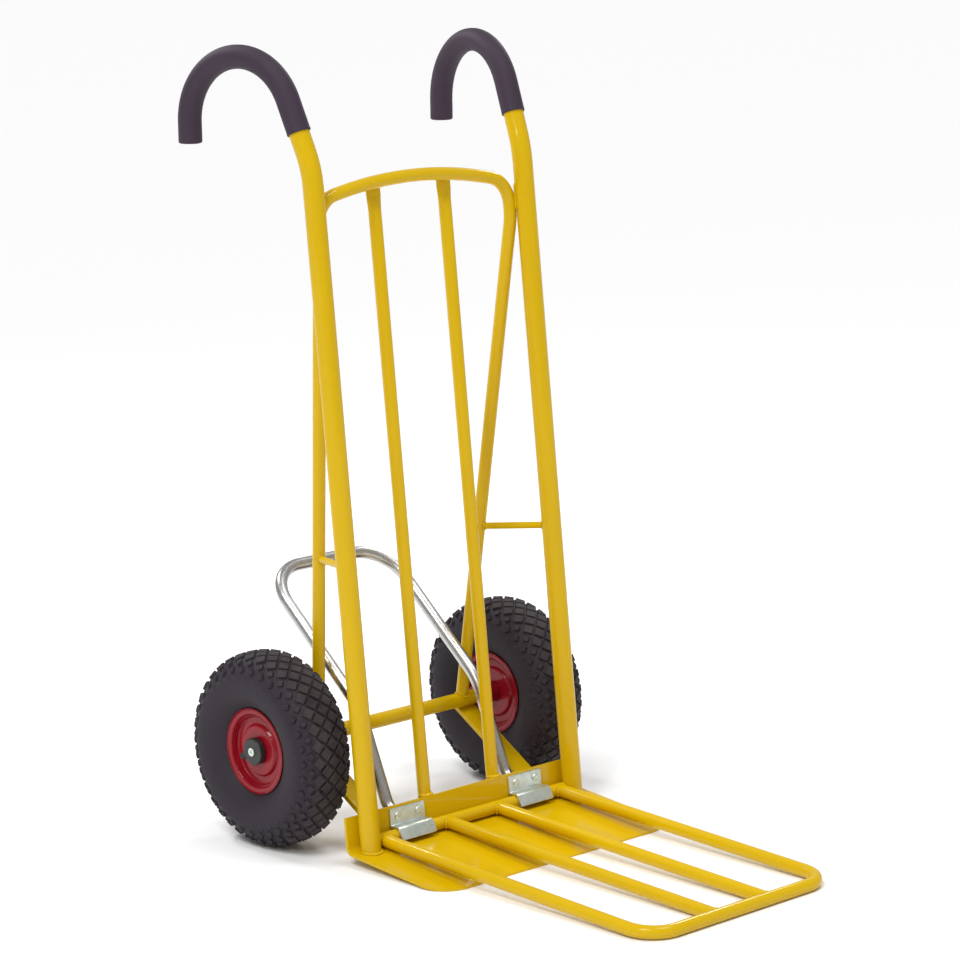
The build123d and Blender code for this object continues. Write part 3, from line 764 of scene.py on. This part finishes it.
dress(zinc, "hinge_bolts", "hinge_washers", "hinge_nuts")

# Tipping hoop: bright drawn steel tube bent behind the frame, on two foot plates that
# share the brackets' bolts. Drawing marks run along the tube.
steel_dark = (0.36, 0.355, 0.35, 1)
steel_bright = (0.74, 0.735, 0.73, 1)
steel_dull = (0.46, 0.445, 0.43, 1)
steel, shader, ground = new_finish("bare_steel", Metallic=1.0)
ground_place = ground.place()
ground_long = ground.make(
    "ShaderNodeMapping",
    inputs={"Vector": ground_place, "Rotation": (radians(-40), 0, 0), "Scale": (1, 0.06, 1)},
)
ground_lines = noise(ground, ground_long, scale=480.0, roughness=0.6)
ground_cloud = noise(ground, ground_place, scale=22.0, detail=4.0)
ground_tone = between(ground, ground_lines, steel_dark, steel_bright)
feed(shader, "Base Color", between(ground, 0.4 * ground_cloud, ground_tone, steel_dull))
feed(shader, "Roughness", 0.20 + 0.22 * ground_lines)
feed(shader, "Normal", bump(ground, ground_lines, strength=0.10, distance=0.0003))
dress(steel, "tipping_hoop", "hoop_feet")
foot_weld_off = 0.0225
foot_weld_along = 0.0459
off_axis = leaning(0, 1, 0) - leaning(0, 0, 0)
foot_welds = bmesh.new()
for side in (-1, 1):
    spot = leaning(side * bracket_x, foot_weld_off, foot_weld_along)
    weld(foot_welds, spot, off_axis, toward=up, radius=0.0090, bead=0.0014)
finish_piece("foot_welds", foot_welds, steel, "frame")

# Folding toe: a bent outer tube and two bars welded to the cross tube that turns under
# the brackets. Each weld fills the sides of a saddle cut to the crossing tube.
toe_pivot = Vector((0, 0.09961, 0.02641))
toe_front = Vector((0, -0.3868, 0.0086))
toe_bar_x = 0.046
toe_leg_x = 0.1595
toe_reach = 0.0087
toe_back_lift = 0.0009
toe_front_lift = 0.0007
dress(yellow, "pivot_tube", "toe_loop", "left_toe_bar", "right_toe_bar")
toe_welds = bmesh.new()
toe_way = (toe_front - toe_pivot).normalized()
for side in (-1, 1):
    bar = Vector((side * toe_bar_x, 0, 0))
    leg = Vector((side * toe_leg_x, 0, 0))
    for tube, face in ((bar, -side), (bar, side), (leg, -side)):
        weld(
            toe_welds, toe_pivot + tube, toe_way, toward=(face, 0, 0), radius=0.0092,
            bead=0.0025, sweep=radians(118),
            rise=lambda angle: toe_reach * abs(cos(angle)) + toe_back_lift,
        )
    for face in (-1, 1):
        weld(
            toe_welds, toe_front + bar, -toe_way, toward=(face, 0, 0), radius=0.0091,
            bead=0.0021, sweep=radians(110),
            rise=lambda angle: toe_reach * abs(cos(angle)) + toe_front_lift,
        )
finish_piece("toe_welds", toe_welds, yellow, "folding_toe")

# Stage: a pale floor under a bright even sky, with soft studio light from the left,
# the front and above and two small lamps behind for the glints along the tubes.
floor_half = 40.0
floor_shape = bmesh.new()
bmesh.ops.create_grid(floor_shape, x_segments=1, y_segments=1, size=floor_half)
floor_mesh = bpy.data.meshes.new("floor")
floor_shape.to_mesh(floor_mesh)
floor_shape.free()
floor = bpy.data.objects.new("floor", floor_mesh)
bpy.context.scene.collection.objects.link(floor)
floor_finish = new_finish("pale_floor", Base_Color=(0.96, 0.96, 0.96, 1), Roughness=0.95)[0]
floor_mesh.materials.append(floor_finish)

world = bpy.data.worlds.new("studio")
bpy.context.scene.world = world
world.use_nodes = True
sky = world.node_tree.nodes["Background"]
sky.inputs["Color"].default_value = (1, 1, 1, 1)
sky.inputs["Strength"].default_value = 0.42


def lamp(name, kind, position, target, power, size):
    """A light that looks at a point. Its size is an angle for a sun, a length for an area."""
    data = bpy.data.lights.new(name, kind)
    data.energy = power
    if kind == "AREA":
        data.size = size
    else:
        data.angle = size
    light = bpy.data.objects.new(name, data)
    light.location = position
    aim = Vector(target) - Vector(position)
    light.rotation_euler = aim.to_track_quat("-Z", "Y").to_euler()
    bpy.context.scene.collection.objects.link(light)


lamp("left_sky", "SUN", (-2.8, -0.9, 4.6), (0, 0, 0), power=1.4, size=radians(22))
lamp("right_sky", "SUN", (1.2, -1.3, 4.8), (0, 0, 0), power=0.8, size=radians(22))
lamp("key", "AREA", (-3.0, -1.4, 2.6), (0, 0, 0.5), power=20, size=0.40)
lamp("back", "AREA", (-0.3, 2.2, 2.2), (0, -0.15, 0.02), power=22, size=0.4)
lamp("side", "AREA", (2.2, 1.1, 1.95), (0, -0.2, 0.1), power=12, size=0.4)
